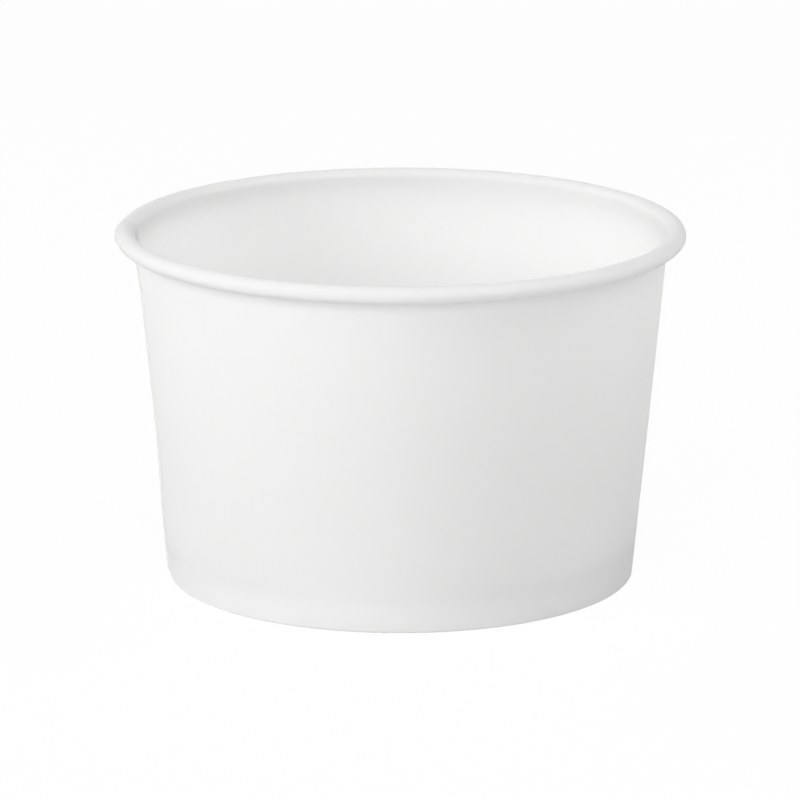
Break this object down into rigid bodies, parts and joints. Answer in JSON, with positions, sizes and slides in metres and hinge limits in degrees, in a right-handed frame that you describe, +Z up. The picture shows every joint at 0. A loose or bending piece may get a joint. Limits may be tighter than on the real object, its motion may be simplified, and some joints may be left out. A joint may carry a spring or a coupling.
{
  "type": "paper soup cup",
  "caption": "Open white paperboard soup cup: gently tapered wrapped wall with a rolled rim, and a recessed board base caught in the turned-in foot.",
  "frame": {"origin": "centre of the ring that the foot stands on, at floor level", "axes": "+Z up the cup's axis, out of the open mouth; the wall's lap seam runs down the -X side, which is the left side in the picture's view"},
  "size_m": [0.1152, 0.115, 0.072],
  "materials": {
    "wall_board": "satin",
    "base_board": "satin"
  },
  "bodies": {
    "root": {"side_wall": "wall_board", "base_disc": "base_board"}
  },
  "joints": []
}
